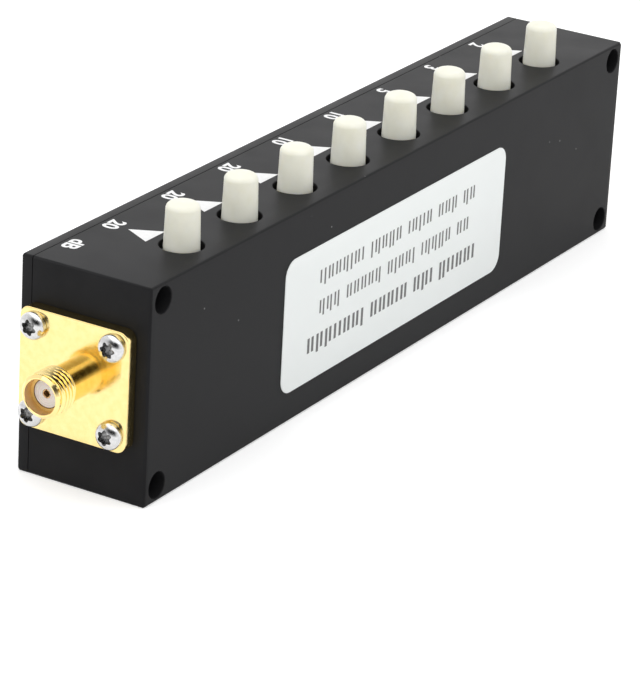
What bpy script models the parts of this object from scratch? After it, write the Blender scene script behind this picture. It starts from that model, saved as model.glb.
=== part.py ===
"""A push-button step attenuator: a milled aluminium case with a screwed side cover, eight latching push
switches on a circuit board, and a threaded coaxial jack on each end."""

import math

import bmesh
import bpy
from mathutils import Vector

# Frame: X runs along the case, -Y is the label face, +Y the cover face and +Z the button face.
# The origin is the middle of the case's underside. All sizes are in metres.

# Fits
CLEARANCE = 0.0003
SEAM = 0.00012
OVERCUT = 0.001

# Buttons and their row
STEP_COUNT = 8
BUTTON_PITCH = 0.01465
NEAR_MARGIN = 0.0161
FAR_MARGIN = 0.01735
BUTTON_TRAVEL = 0.0025

# Case
CASE_LENGTH = NEAR_MARGIN + (STEP_COUNT - 1) * BUTTON_PITCH + FAR_MARGIN
CASE_HEIGHT = 0.032
BACK_WALL = 0.0023
RIM_WALL = 0.004
END_WALL = 0.006
CELL_WALL = 0.003
LEDGE = 0.001
MILL_RADIUS = 0.002
CASE_CHAMFER = 0.0003
CORNER_HOLE_RADIUS = 0.0019
CORNER_HOLE_END_INSET = 0.003
CORNER_HOLE_EDGE_INSET = 0.0025
COVER_THICKNESS = 0.0018

# Button caps
CAP_BASE_RADIUS = 0.0026
CAP_TOP_RADIUS = 0.0024
CAP_STANDOUT = 0.0065
CAP_HIDDEN = 0.0022
CAP_EDGE_RADIUS = 0.0009
CAP_CROWN = 0.0004
CAP_SOCKET_DEPTH = 0.0045
CAP_SOCKET_GAP = 0.0001
BUTTON_HOLE_GAP = 0.00055

# Switches
SWITCH_WIDTH = 0.007
SWITCH_DEPTH = 0.0065
SWITCH_HEIGHT = 0.012
SWITCH_CHAMFER = 0.0004
LATCH_SLOT_WIDTH = 0.0014
LATCH_SLOT_DEPTH = 0.0006
LATCH_SLOT_LENGTH = 0.006
STEM_RADIUS = 0.0013
STEM_DEPTH_IN_SWITCH = 0.005
STEM_GROOVE = 0.0004
STEM_GROOVE_RISE = 0.0017
COLLAR_RADIUS = 0.0023
COLLAR_THICKNESS = 0.0008
SPRING_LENGTH = 0.0041
SPRING_RADIUS = 0.0019
SPRING_WIRE_RADIUS = 0.00015
SPRING_TURNS = 4
PIN_SIDE = 0.0005
PIN_REACH = 0.0023
PIN_COLUMN_SPACING = 0.004
PIN_ROW_SPACING = 0.003
PIN_COLUMNS = 2
PIN_ROWS = 3
PIN_HOLE_GAP = 0.00025

# Circuit board and the chip resistors of its pads
BOARD_THICKNESS = 0.0006
CHIP_LENGTH = 0.002
CHIP_WIDTH = 0.00125
CHIP_THICKNESS = 0.0005
CHIP_SPACING = 0.0034
CHIPS_PER_STEP = 3
CHIP_DROP = 0.004

# Small screws, all of one thread size
SCREW_RADIUS = 0.001
SCREW_HOLE_GAP = 0.0002
SCREW_HOLE_DEPTH = 0.0045
SCREW_GRIP = 0.0035
PAN_HEAD_RADIUS = 0.002
PAN_HEAD_HEIGHT = 0.0016
PAN_HEAD_SIDE = 0.0006
PAN_HEAD_CROWN = 0.00025
HEAD_SEAT_GAP = 0.00005
FLAT_HEAD_RADIUS = 0.0018
FLAT_HEAD_HEIGHT = 0.0009
COVER_SCREW_INSET = 0.0022
COVER_SCREW_SPREAD = 0.044
BOARD_SCREW_END_INSET = 0.0021
BOARD_SCREW_EDGE_INSET = 0.003
CHEESE_HEAD_RADIUS = 0.0017
CHEESE_HEAD_HEIGHT = 0.0012

# Coaxial jacks
JACK_RISE = 0.0009
FLANGE_SIDE = 0.0175
FLANGE_THICKNESS = 0.002
FLANGE_CORNER = 0.0015
FLANGE_SCREW_INSET = 0.0024
FLANGE_MARGIN = 0.0015
BARREL_LENGTH = 0.0076
THREAD_RADIUS = 0.003175
THREAD_LENGTH = 0.0044
NECK_RADIUS = 0.0027
RIM_RADIUS = 0.0028
LEAD_CHAMFER = 0.0009
MOUTH_RADIUS = 0.0025
MOUTH_DEPTH = 0.0016
INSULATOR_RADIUS = 0.00198
INSULATOR_GAP = 0.0001
CONTACT_RADIUS = 0.000635
CONTACT_LENGTH = 0.006
CONTACT_HOLE_RADIUS = 0.00046
CONTACT_HOLE_DEPTH = 0.0025
TAIL_RADIUS = 0.00045
TAIL_REACH = 0.0035

# Label
LABEL_LENGTH = 0.064
LABEL_HEIGHT = 0.0204
LABEL_THICKNESS = 0.00012
LABEL_CORNER = 0.0025
LABEL_GLUE = 0.00003
LABEL_SHIFT_X = -0.0018
LABEL_SHIFT_Z = -0.0011

# Facets
CAP_STEPS = 16
HOLE_STEPS = 20
SMALL_HOLE_STEPS = 8
SCREW_STEPS = 8
HEAD_STEPS = 12
BARREL_STEPS = 24
ARC_STEPS = 3
CELL_ARC_STEPS = 2
WIRE_STEPS_PER_TURN = 7

# Places that follow from the sizes. The case's depth is a stack: wall, switch, board, the solder tail
# on the board, then half the flange and its margin.
JACK_DEPTH = BACK_WALL + SWITCH_DEPTH + BOARD_THICKNESS + TAIL_RADIUS + 3 * CLEARANCE
CASE_WIDTH = JACK_DEPTH + FLANGE_SIDE / 2 + FLANGE_MARGIN
LABEL_FACE_Y = -CASE_WIDTH / 2
COVER_FACE_Y = CASE_WIDTH / 2
OPEN_FACE_Y = COVER_FACE_Y - COVER_THICKNESS - SEAM
NEAR_END_X = -CASE_LENGTH / 2
FAR_END_X = CASE_LENGTH / 2
CELL_FLOOR_Y = LABEL_FACE_Y + BACK_WALL
BUTTON_Y = CELL_FLOOR_Y + CLEARANCE + SWITCH_DEPTH / 2
LEDGE_Y = BUTTON_Y + SWITCH_DEPTH / 2
BOARD_FRONT_Y = LEDGE_Y + CLEARANCE
BOARD_BACK_Y = BOARD_FRONT_Y + BOARD_THICKNESS
BUTTON_X = [NEAR_END_X + NEAR_MARGIN + BUTTON_PITCH * step for step in range(STEP_COUNT)]
CAP_FOOT_Z = CASE_HEIGHT - CAP_HIDDEN
COLLAR_TOP_Z = CAP_FOOT_Z - SEAM
SWITCH_TOP_Z = COLLAR_TOP_Z - COLLAR_THICKNESS - SPRING_LENGTH - 2 * CLEARANCE
SWITCH_MIDDLE_Z = SWITCH_TOP_Z - SWITCH_HEIGHT / 2
BUTTON_HOLE_RADIUS = CAP_BASE_RADIUS + BUTTON_HOLE_GAP
SCREW_HOLE_RADIUS = SCREW_RADIUS + SCREW_HOLE_GAP
BAY_LENGTH = CASE_LENGTH - 2 * END_WALL
BAY_HEIGHT = CASE_HEIGHT - 2 * RIM_WALL
MIDDLE_Z = CASE_HEIGHT / 2
JACK_Y = LABEL_FACE_Y + JACK_DEPTH
JACK_Z = MIDDLE_Z + JACK_RISE


def clear_scene():
    for obj in list(bpy.data.objects):
        bpy.data.objects.remove(obj)


def material(name, colour, roughness, metallic=0.0):
    made = bpy.data.materials.new(name)
    made.use_nodes = True
    shader = made.node_tree.nodes["Principled BSDF"]
    shader.inputs["Base Color"].default_value = (*colour, 1.0)
    shader.inputs["Roughness"].default_value = roughness
    shader.inputs["Metallic"].default_value = metallic
    return made


def mesh_of(name, shape, smooth_angle=math.radians(35)):
    """Turns a bmesh into a mesh with its faces out and its round sides smooth."""
    bmesh.ops.remove_doubles(shape, verts=shape.verts, dist=1e-7)
    bmesh.ops.recalc_face_normals(shape, faces=shape.faces)
    mesh = bpy.data.meshes.new(name)
    shape.to_mesh(mesh)
    shape.free()
    mesh.shade_smooth()
    mesh.set_sharp_from_angle(angle=smooth_angle)
    return mesh


def add_object(name, mesh, finish=None, place=(0, 0, 0), parent=None):
    obj = bpy.data.objects.new(name, mesh)
    bpy.context.scene.collection.objects.link(obj)
    obj.location = place
    obj.parent = parent
    if finish and not mesh.materials:
        mesh.materials.append(finish)
    return obj


def add_empty(name, place, parent=None):
    empty = bpy.data.objects.new(name, None)
    bpy.context.scene.collection.objects.link(empty)
    empty.empty_display_size = 0.004
    empty.location = place
    empty.parent = parent
    return empty


def on_axis(axis, across, up, along):
    """A point given across, up and along the named axis, as world X, Y and Z."""
    return {
        "X": Vector((along, across, up)),
        "Y": Vector((across, along, up)),
        "Z": Vector((across, up, along)),
    }[axis]


def rounded_rectangle(width, height, radius, centre=(0.0, 0.0), steps=ARC_STEPS):
    """Corner arcs of a rectangle, anticlockwise; steps=1 gives plain chamfers."""
    radius = min(radius, 0.49 * width, 0.49 * height)
    points = []
    for corner, (side, level) in enumerate(((1, 1), (-1, 1), (-1, -1), (1, -1))):
        middle = (
            centre[0] + side * (width / 2 - radius),
            centre[1] + level * (height / 2 - radius),
        )
        for step in range(steps + 1):
            angle = math.radians(90) * (corner + step / steps)
            points.append(
                (middle[0] + radius * math.cos(angle), middle[1] + radius * math.sin(angle))
            )
    return points


def rectangle(width, height, centre):
    signs = ((1, 1), (-1, 1), (-1, -1), (1, -1))
    return [(centre[0] + sx * width / 2, centre[1] + sy * height / 2) for sx, sy in signs]


def polygon(radius, steps, centre=(0.0, 0.0)):
    turns = [2 * math.pi * (step + 0.5) / steps for step in range(steps)]
    return [
        (centre[0] + radius * math.cos(turn), centre[1] + radius * math.sin(turn))
        for turn in turns
    ]


def extrude_outline(shape, outline, axis, start, end):
    """Adds the prism of an outline between two places along an axis."""
    verts = [shape.verts.new(on_axis(axis, across, up, start)) for across, up in outline]
    face = shape.faces.new(verts)
    grown = bmesh.ops.extrude_face_region(shape, geom=[face])["geom"]
    moved = [item for item in grown if isinstance(item, bmesh.types.BMVert)]
    bmesh.ops.translate(shape, verts=moved, vec=on_axis(axis, 0, 0, end - start))


def prisms(name, outlines, axis, start, end):
    shape = bmesh.new()
    for outline in outlines:
        extrude_outline(shape, outline, axis, start, end)
    return mesh_of(name, shape)


def turned(name, profile, axis, steps, closed=False):
    """Spins a profile of (radius, along) points round an axis through the origin."""
    shape = bmesh.new()
    verts = [shape.verts.new(on_axis(axis, radius, 0, along)) for radius, along in profile]
    edges = [shape.edges.new(pair) for pair in zip(verts, verts[1:])]
    if closed:
        edges.append(shape.edges.new((verts[-1], verts[0])))
    bmesh.ops.spin(
        shape,
        geom=verts + edges,
        cent=(0, 0, 0),
        axis=on_axis(axis, 0, 0, 1),
        angle=2 * math.pi,
        steps=steps,
        use_merge=True,
    )
    return mesh_of(name, shape)


def arc(centre, radius, first, last, steps):
    """Points (radius, along) of a profile's arc, with its angles in degrees."""
    angles = [math.radians(first + (last - first) * step / steps) for step in range(steps + 1)]
    return [
        (centre[0] + radius * math.cos(angle), centre[1] + radius * math.sin(angle))
        for angle in angles
    ]


def combine(obj, mesh, operation, place=(0, 0, 0)):
    """Cuts a hidden tool's mesh from the object, or joins it on."""
    tool = add_object(f"{obj.name}_{mesh.name}", mesh, place=place, parent=obj.parent)
    tool.display_type = "WIRE"
    tool.hide_render = True
    modifier = obj.modifiers.new(mesh.name, "BOOLEAN")
    modifier.operation = operation
    modifier.object = tool
    modifier.solver = "EXACT"


def corner_hole_places():
    """Centres of the four mounting holes that cross the case, as (x, z)."""
    side = CASE_LENGTH / 2 - CORNER_HOLE_END_INSET
    rise = CASE_HEIGHT / 2 - CORNER_HOLE_EDGE_INSET
    return [(sx * side, MIDDLE_Z + sz * rise) for sx in (-1, 1) for sz in (-1, 1)]


def cover_screw_places():
    """One screw in the middle of each end wall and four in the long rims, as (x, z)."""
    end = CASE_LENGTH / 2 - END_WALL / 2
    rise = CASE_HEIGHT / 2 - COVER_SCREW_INSET
    rims = [
        (sx * COVER_SCREW_SPREAD / 2, MIDDLE_Z + sz * rise) for sx in (-1, 1) for sz in (-1, 1)
    ]
    return [(-end, MIDDLE_Z), (end, MIDDLE_Z), *rims]


def board_screw_places():
    side = BAY_LENGTH / 2 - BOARD_SCREW_END_INSET
    rise = BAY_HEIGHT / 2 - BOARD_SCREW_EDGE_INSET
    return [(sx * side, MIDDLE_Z + sz * rise) for sx in (-1, 1) for sz in (-1, 1)]


def flange_screw_offsets():
    half = FLANGE_SIDE / 2 - FLANGE_SCREW_INSET
    return [(sy * half, sz * half) for sy in (-1, 1) for sz in (-1, 1)]


def jack_places():
    """Name, end face and outward direction of each jack."""
    return [("input", NEAR_END_X, -1), ("output", FAR_END_X, 1)]


def pin_places(x, z):
    """Centres of one switch's pins, as (x, z)."""
    columns = [(column - (PIN_COLUMNS - 1) / 2) * PIN_COLUMN_SPACING for column in range(PIN_COLUMNS)]
    rows = [(row - (PIN_ROWS - 1) / 2) * PIN_ROW_SPACING for row in range(PIN_ROWS)]
    return [(x + column, z + row) for column in columns for row in rows]


def milled_block(name, low_y, high_y, chamfered_y):
    """A block of the case's outline, chamfered at its corners and round the given face."""
    shape = bmesh.new()
    outline = rounded_rectangle(CASE_LENGTH, CASE_HEIGHT, CASE_CHAMFER, (0, MIDDLE_Z), steps=1)
    extrude_outline(shape, outline, "Y", low_y, high_y)
    rim = [
        edge
        for edge in shape.edges
        if all(abs(vert.co.y - chamfered_y) < 1e-6 for vert in edge.verts)
    ]
    bmesh.ops.bevel(shape, geom=rim, offset=CASE_CHAMFER, segments=1, affect="EDGES")
    return mesh_of(name, shape)


def add_housing(finish):
    """The milled case: a bay for the board, a cell for each switch and every drilled hole."""
    block = milled_block("housing", LABEL_FACE_Y, OPEN_FACE_Y, LABEL_FACE_Y)
    housing = add_object("housing", block, finish)
    bay = rounded_rectangle(BAY_LENGTH, BAY_HEIGHT, MILL_RADIUS, (0, MIDDLE_Z))
    combine(housing, prisms("bay", [bay], "Y", LEDGE_Y, OPEN_FACE_Y + OVERCUT), "DIFFERENCE")
    cells = [
        rounded_rectangle(
            BUTTON_PITCH - CELL_WALL,
            BAY_HEIGHT - 2 * LEDGE,
            MILL_RADIUS,
            (x, MIDDLE_Z),
            CELL_ARC_STEPS,
        )
        for x in BUTTON_X
    ]
    combine(
        housing, prisms("cells", cells, "Y", CELL_FLOOR_Y, LEDGE_Y + OVERCUT), "DIFFERENCE"
    )
    buttons = [polygon(BUTTON_HOLE_RADIUS, HOLE_STEPS, (x, BUTTON_Y)) for x in BUTTON_X]
    roof = CASE_HEIGHT - RIM_WALL - LEDGE
    combine(
        housing,
        prisms("button_holes", buttons, "Z", roof - OVERCUT, CASE_HEIGHT + OVERCUT),
        "DIFFERENCE",
    )
    corners = [polygon(CORNER_HOLE_RADIUS, HOLE_STEPS, place) for place in corner_hole_places()]
    combine(
        housing,
        prisms("corner_holes", corners, "Y", LABEL_FACE_Y - OVERCUT, OPEN_FACE_Y + OVERCUT),
        "DIFFERENCE",
    )
    cover_taps = [
        polygon(SCREW_HOLE_RADIUS, SMALL_HOLE_STEPS, place) for place in cover_screw_places()
    ]
    combine(
        housing,
        prisms(
            "cover_taps", cover_taps, "Y", OPEN_FACE_Y - SCREW_HOLE_DEPTH, OPEN_FACE_Y + OVERCUT
        ),
        "DIFFERENCE",
    )
    board_taps = [
        polygon(SCREW_HOLE_RADIUS, SMALL_HOLE_STEPS, place) for place in board_screw_places()
    ]
    combine(
        housing,
        prisms("board_taps", board_taps, "Y", LEDGE_Y - SCREW_HOLE_DEPTH, LEDGE_Y + OVERCUT),
        "DIFFERENCE",
    )
    for name, end, out in jack_places():
        cut_jack_seat(housing, name, end, out)
    return housing


def cut_jack_seat(housing, name, end, out):
    """The bore for a jack's insulator through one end wall, and the four tapped holes round it."""
    bore = polygon(INSULATOR_RADIUS + CLEARANCE, HOLE_STEPS, (JACK_Y, JACK_Z))
    inside = end - out * (END_WALL + OVERCUT)
    outside = end + out * OVERCUT
    combine(housing, prisms(f"{name}_bore", [bore], "X", inside, outside), "DIFFERENCE")
    taps = [
        polygon(SCREW_HOLE_RADIUS, SMALL_HOLE_STEPS, (JACK_Y + across, JACK_Z + up))
        for across, up in flange_screw_offsets()
    ]
    blind = end - out * SCREW_HOLE_DEPTH
    combine(housing, prisms(f"{name}_taps", taps, "X", blind, outside), "DIFFERENCE")


def add_side_cover(finish):
    """The flat plate that closes the case, with mounting holes and countersunk screw holes."""
    inner = OPEN_FACE_Y + SEAM
    plate = milled_block("side_cover", inner, COVER_FACE_Y, COVER_FACE_Y)
    cover = add_object("side_cover", plate, finish)
    corners = [polygon(CORNER_HOLE_RADIUS, HOLE_STEPS, place) for place in corner_hole_places()]
    combine(
        cover,
        prisms("corner_holes", corners, "Y", inner - OVERCUT, COVER_FACE_Y + OVERCUT),
        "DIFFERENCE",
    )
    sink_radius = FLAT_HEAD_RADIUS + SCREW_HOLE_GAP
    sink_depth = FLAT_HEAD_HEIGHT + HEAD_SEAT_GAP
    sink = turned(
        "countersink",
        [
            (0, -COVER_THICKNESS - OVERCUT),
            (SCREW_HOLE_RADIUS, -COVER_THICKNESS - OVERCUT),
            (SCREW_HOLE_RADIUS, -sink_depth),
            (sink_radius, 0),
            (sink_radius, OVERCUT),
            (0, OVERCUT),
        ],
        "Y",
        HEAD_STEPS,
    )
    for x, z in cover_screw_places():
        combine(cover, sink, "DIFFERENCE", (x, COVER_FACE_Y, z))
    return cover


def flat_head_screw():
    """A countersunk screw pointing along -Y, with its head's top face at the origin."""
    neck = -FLAT_HEAD_HEIGHT
    tip = -COVER_THICKNESS - SEAM - SCREW_GRIP
    profile = [(0, 0), (FLAT_HEAD_RADIUS, 0), (SCREW_RADIUS, neck), (SCREW_RADIUS, tip), (0, tip)]
    return turned("flat_head_screw", profile, "Y", SCREW_STEPS)


def cheese_head_screw():
    """A board screw pointing along -Y, with its head resting on the plane through the origin."""
    tip = -BOARD_THICKNESS - CLEARANCE - SCREW_GRIP
    profile = [
        (0, CHEESE_HEAD_HEIGHT),
        (CHEESE_HEAD_RADIUS, CHEESE_HEAD_HEIGHT),
        (CHEESE_HEAD_RADIUS, HEAD_SEAT_GAP),
        (SCREW_RADIUS, HEAD_SEAT_GAP),
        (SCREW_RADIUS, tip),
        (0, tip),
    ]
    return turned("cheese_head_screw", profile, "Y", SCREW_STEPS)


def pan_head_screw(out):
    """A flange screw with a domed head, its head towards the given direction along X."""
    edge = PAN_HEAD_HEIGHT - PAN_HEAD_SIDE - PAN_HEAD_CROWN
    shoulder = arc((PAN_HEAD_RADIUS - edge, PAN_HEAD_SIDE), edge, 75, 0, 3)
    tip = -FLANGE_THICKNESS - SEAM - SCREW_GRIP
    profile = [
        (0, PAN_HEAD_HEIGHT),
        *shoulder,
        (PAN_HEAD_RADIUS, HEAD_SEAT_GAP),
        (SCREW_RADIUS, HEAD_SEAT_GAP),
        (SCREW_RADIUS, tip),
        (0, tip),
    ]
    along_x = [(radius, out * along) for radius, along in profile]
    return turned("pan_head_screw", along_x, "X", HEAD_STEPS)


def add_circuit_board(finish):
    """The board, its holes for screws and pins, and the chip resistors soldered to its back."""
    width = BAY_LENGTH - 2 * CLEARANCE
    height = BAY_HEIGHT - 2 * CLEARANCE
    outline = rounded_rectangle(width, height, MILL_RADIUS - CLEARANCE, (0, MIDDLE_Z))
    plate = prisms("circuit_board", [outline], "Y", BOARD_FRONT_Y, BOARD_BACK_Y)
    board = add_object("circuit_board", plate, finish)
    chips = []
    for x in BUTTON_X:
        for chip in range(CHIPS_PER_STEP):
            middle = x + (chip - (CHIPS_PER_STEP - 1) / 2) * CHIP_SPACING
            level = SWITCH_MIDDLE_Z - (PIN_ROWS - 1) / 2 * PIN_ROW_SPACING - CHIP_DROP
            chips.append(rectangle(CHIP_WIDTH, CHIP_LENGTH, (middle, level)))
    inset = BOARD_BACK_Y - BOARD_THICKNESS / 2
    combine(board, prisms("chips", chips, "Y", inset, BOARD_BACK_Y + CHIP_THICKNESS), "UNION")
    side = PIN_SIDE + 2 * PIN_HOLE_GAP
    pins = [
        rectangle(side, side, place)
        for x in BUTTON_X
        for place in pin_places(x, SWITCH_MIDDLE_Z)
    ]
    front, back = BOARD_FRONT_Y - OVERCUT, BOARD_BACK_Y + OVERCUT
    combine(board, prisms("pin_holes", pins, "Y", front, back), "DIFFERENCE")
    screws = [
        polygon(SCREW_HOLE_RADIUS, SMALL_HOLE_STEPS, place) for place in board_screw_places()
    ]
    combine(board, prisms("screw_holes", screws, "Y", front, back), "DIFFERENCE")
    return board


def add_switch(name, place, finish):
    """One latching push switch: a body with a blind bore for its stem, a latch slot and six pins.
    The origin is the middle of its top face."""
    outline = rounded_rectangle(SWITCH_WIDTH, SWITCH_DEPTH, SWITCH_CHAMFER, steps=1)
    body = prisms("switch", [outline], "Z", -SWITCH_HEIGHT, 0)
    switch = add_object(name, body, finish, place)
    depth = STEM_DEPTH_IN_SWITCH + BUTTON_TRAVEL + CLEARANCE
    bore = polygon(STEM_RADIUS + CLEARANCE, SMALL_HOLE_STEPS)
    combine(switch, prisms("bore", [bore], "Z", -depth, OVERCUT), "DIFFERENCE", place)
    slot = rectangle(LATCH_SLOT_WIDTH, LATCH_SLOT_LENGTH, (0, -SWITCH_HEIGHT / 2))
    face = -SWITCH_DEPTH / 2
    combine(
        switch,
        prisms("latch_slot", [slot], "Y", face - OVERCUT, face + LATCH_SLOT_DEPTH),
        "DIFFERENCE",
        place,
    )
    pins = [rectangle(PIN_SIDE, PIN_SIDE, pin) for pin in pin_places(0, -SWITCH_HEIGHT / 2)]
    rear = SWITCH_DEPTH / 2
    combine(switch, prisms("pins", pins, "Y", rear - OVERCUT, rear + PIN_REACH), "UNION", place)
    return switch


def plunger_mesh():
    """The moving stem of a switch, turned about Z, with the collar's top face at the origin."""
    foot = SWITCH_TOP_Z - STEM_DEPTH_IN_SWITCH - COLLAR_TOP_Z
    groove = foot + STEM_GROOVE_RISE
    spigot = CAP_SOCKET_DEPTH - CLEARANCE
    profile = [
        (0, spigot),
        (STEM_RADIUS, spigot),
        (STEM_RADIUS, 0),
        (COLLAR_RADIUS, 0),
        (COLLAR_RADIUS, -COLLAR_THICKNESS),
        (STEM_RADIUS, -COLLAR_THICKNESS),
        (STEM_RADIUS, groove + STEM_GROOVE),
        (STEM_RADIUS - STEM_GROOVE, groove),
        (STEM_RADIUS, groove - STEM_GROOVE),
        (STEM_RADIUS, foot),
        (0, foot),
    ]
    return turned("plunger", profile, "Z", SMALL_HOLE_STEPS)


def cap_mesh():
    """A button cap turned about Z: a slightly tapered side, a rounded top edge, a low crown and a socket
    for the stem. Its foot is at the origin."""
    height = CAP_HIDDEN + CAP_STANDOUT
    edge = (CAP_TOP_RADIUS - CAP_EDGE_RADIUS, height - CAP_CROWN - CAP_EDGE_RADIUS)
    socket = STEM_RADIUS + CAP_SOCKET_GAP
    profile = [
        (0, CAP_SOCKET_DEPTH),
        (socket, CAP_SOCKET_DEPTH),
        (socket, 0),
        (CAP_BASE_RADIUS, 0),
        *arc(edge, CAP_EDGE_RADIUS, 0, 80, ARC_STEPS),
        (CAP_TOP_RADIUS / 2, height - CAP_CROWN / 4),
        (0, height),
    ]
    return turned("button_cap", profile, "Z", CAP_STEPS)


def add_return_spring(name, place, finish):
    """A compression spring round a stem, as a bevelled helix that stands on its foot at the origin."""
    curve = bpy.data.curves.new(name, "CURVE")
    curve.dimensions = "3D"
    curve.bevel_depth = SPRING_WIRE_RADIUS
    curve.bevel_resolution = 0
    curve.use_fill_caps = True
    count = SPRING_TURNS * WIRE_STEPS_PER_TURN
    climb = SPRING_LENGTH - 2 * SPRING_WIRE_RADIUS
    wire = curve.splines.new("POLY")
    wire.points.add(count)
    for index, point in enumerate(wire.points):
        turn = 2 * math.pi * index / WIRE_STEPS_PER_TURN
        height = SPRING_WIRE_RADIUS + climb * index / count
        point.co = (SPRING_RADIUS * math.cos(turn), SPRING_RADIUS * math.sin(turn), height, 1)
    curve.materials.append(finish)
    return add_object(name, curve, place=place)


def flange_and_barrel(name, out, finish, place):
    """A jack's one-piece metal body: square flange, relieved neck, threaded barrel and stepped bore.
    The origin is on the jack's axis at the flange's back face."""
    corner = rounded_rectangle(FLANGE_SIDE, FLANGE_SIDE, FLANGE_CORNER)
    flange = prisms(f"{name}_jack", [corner], "X", 0, out * FLANGE_THICKNESS)
    jack = add_object(f"{name}_jack", flange, finish, place)
    rim = FLANGE_THICKNESS + BARREL_LENGTH
    thread_end = rim - THREAD_LENGTH
    barrel = [
        (0, rim),
        (RIM_RADIUS, rim),
        (THREAD_RADIUS, rim - LEAD_CHAMFER),
        (THREAD_RADIUS, thread_end),
        (NECK_RADIUS, thread_end - (THREAD_RADIUS - NECK_RADIUS)),
        (NECK_RADIUS, FLANGE_THICKNESS / 2),
        (0, FLANGE_THICKNESS / 2),
    ]
    outer = [(radius, out * along) for radius, along in barrel]
    combine(jack, turned("barrel", outer, "X", BARREL_STEPS), "UNION", place)
    through = INSULATOR_RADIUS + INSULATOR_GAP
    bore = [
        (0, rim + OVERCUT),
        (MOUTH_RADIUS, rim + OVERCUT),
        (MOUTH_RADIUS, rim - MOUTH_DEPTH),
        (through, rim - MOUTH_DEPTH),
        (through, -OVERCUT),
        (0, -OVERCUT),
    ]
    inner = [(radius, out * along) for radius, along in bore]
    combine(jack, turned("bore", inner, "X", BARREL_STEPS), "DIFFERENCE", place)
    holes = [
        polygon(SCREW_HOLE_RADIUS, SMALL_HOLE_STEPS, offset) for offset in flange_screw_offsets()
    ]
    start, end = -out * OVERCUT, out * (FLANGE_THICKNESS + OVERCUT)
    combine(jack, prisms("screw_holes", holes, "X", start, end), "DIFFERENCE", place)
    return jack


def insulator_mesh(out):
    """The white sleeve round the contact, from the mouth's shoulder back through the end wall.
    The origin is its front face, on the jack's axis."""
    length = FLANGE_THICKNESS + BARREL_LENGTH - MOUTH_DEPTH + SEAM + END_WALL
    inner = CONTACT_RADIUS + INSULATOR_GAP
    profile = [
        (inner, 0),
        (INSULATOR_RADIUS, 0),
        (INSULATOR_RADIUS, -out * length),
        (inner, -out * length),
    ]
    return turned("insulator", profile, "X", BARREL_STEPS, closed=True)


def contact_mesh(out):
    """The socket contact and its solder tail, which reaches over the board. Same origin as the insulator."""
    wall = FLANGE_THICKNESS + BARREL_LENGTH - MOUTH_DEPTH + SEAM + END_WALL
    tail = wall + CLEARANCE + TAIL_REACH
    profile = [
        (0, -CONTACT_HOLE_DEPTH),
        (CONTACT_HOLE_RADIUS, -CONTACT_HOLE_DEPTH),
        (CONTACT_HOLE_RADIUS, 0),
        (CONTACT_RADIUS, 0),
        (CONTACT_RADIUS, -CONTACT_LENGTH),
        (TAIL_RADIUS, -CONTACT_LENGTH),
        (TAIL_RADIUS, -tail),
        (0, -tail),
    ]
    along_x = [(radius, out * along) for radius, along in profile]
    return turned("contact", along_x, "X", HEAD_STEPS)


def add_jack(name, end, out, finishes):
    """A whole jack on one end face: body, insulator, contact and four flange screws."""
    seat = end + out * SEAM
    flange_and_barrel(name, out, finishes["gold"], (seat, JACK_Y, JACK_Z))
    shoulder = seat + out * (FLANGE_THICKNESS + BARREL_LENGTH - MOUTH_DEPTH)
    front = (shoulder, JACK_Y, JACK_Z)
    add_object(f"{name}_insulator", insulator_mesh(out), finishes["insulator"], front)
    add_object(f"{name}_contact", contact_mesh(out), finishes["gold"], front)
    screw = pan_head_screw(out)
    face = seat + out * FLANGE_THICKNESS
    for number, (across, up) in enumerate(flange_screw_offsets(), 1):
        place = (face, JACK_Y + across, JACK_Z + up)
        add_object(f"{name}_flange_screw_{number}", screw, finishes["steel"], place)


def add_label(finish):
    outline = rounded_rectangle(LABEL_LENGTH, LABEL_HEIGHT, LABEL_CORNER)
    back = LABEL_FACE_Y - LABEL_GLUE
    sheet = prisms("label", [outline], "Y", -LABEL_THICKNESS, 0)
    place = (LABEL_SHIFT_X, back, MIDDLE_Z + LABEL_SHIFT_Z)
    return add_object("label", sheet, finish, place)


def add_buttons(finishes):
    """Each step's switch, spring, plunger and cap. The moving two hang on an empty on the slide's axis."""
    plunger = plunger_mesh()
    cap = cap_mesh()
    for number, x in enumerate(BUTTON_X, 1):
        top = (x, BUTTON_Y, SWITCH_TOP_Z)
        add_switch(f"switch_{number}", top, finishes["switch"])
        spring_foot = (x, BUTTON_Y, SWITCH_TOP_Z + CLEARANCE)
        add_return_spring(f"return_spring_{number}", spring_foot, finishes["steel"])
        slide = add_empty(f"button_slide_{number}", (x, BUTTON_Y, COLLAR_TOP_Z))
        add_object(f"plunger_{number}", plunger, finishes["stem"], parent=slide)
        seat = (0, 0, CAP_FOOT_Z - COLLAR_TOP_Z)
        add_object(f"button_cap_{number}", cap, finishes["cap"], seat, slide)


def build_finishes():
    return {
        "anodised": material("black_anodised_aluminium", (0.025, 0.025, 0.027), 0.45, 0.6),
        "gold": material("gold_plate", (0.95, 0.72, 0.25), 0.22, 1.0),
        "steel": material("bright_steel", (0.72, 0.72, 0.73), 0.25, 1.0),
        "black_steel": material("blackened_steel", (0.08, 0.08, 0.085), 0.35, 1.0),
        "cap": material("cream_white_plastic", (0.88, 0.86, 0.79), 0.4),
        "stem": material("natural_plastic", (0.80, 0.79, 0.74), 0.5),
        "switch": material("dark_switch_plastic", (0.05, 0.05, 0.05), 0.5),
        "board": material("green_circuit_board", (0.02, 0.16, 0.07), 0.4),
        "insulator": material("white_fluoropolymer", (0.86, 0.82, 0.78), 0.5),
        "label": material("white_label_paper", (0.86, 0.87, 0.88), 0.6),
    }


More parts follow.
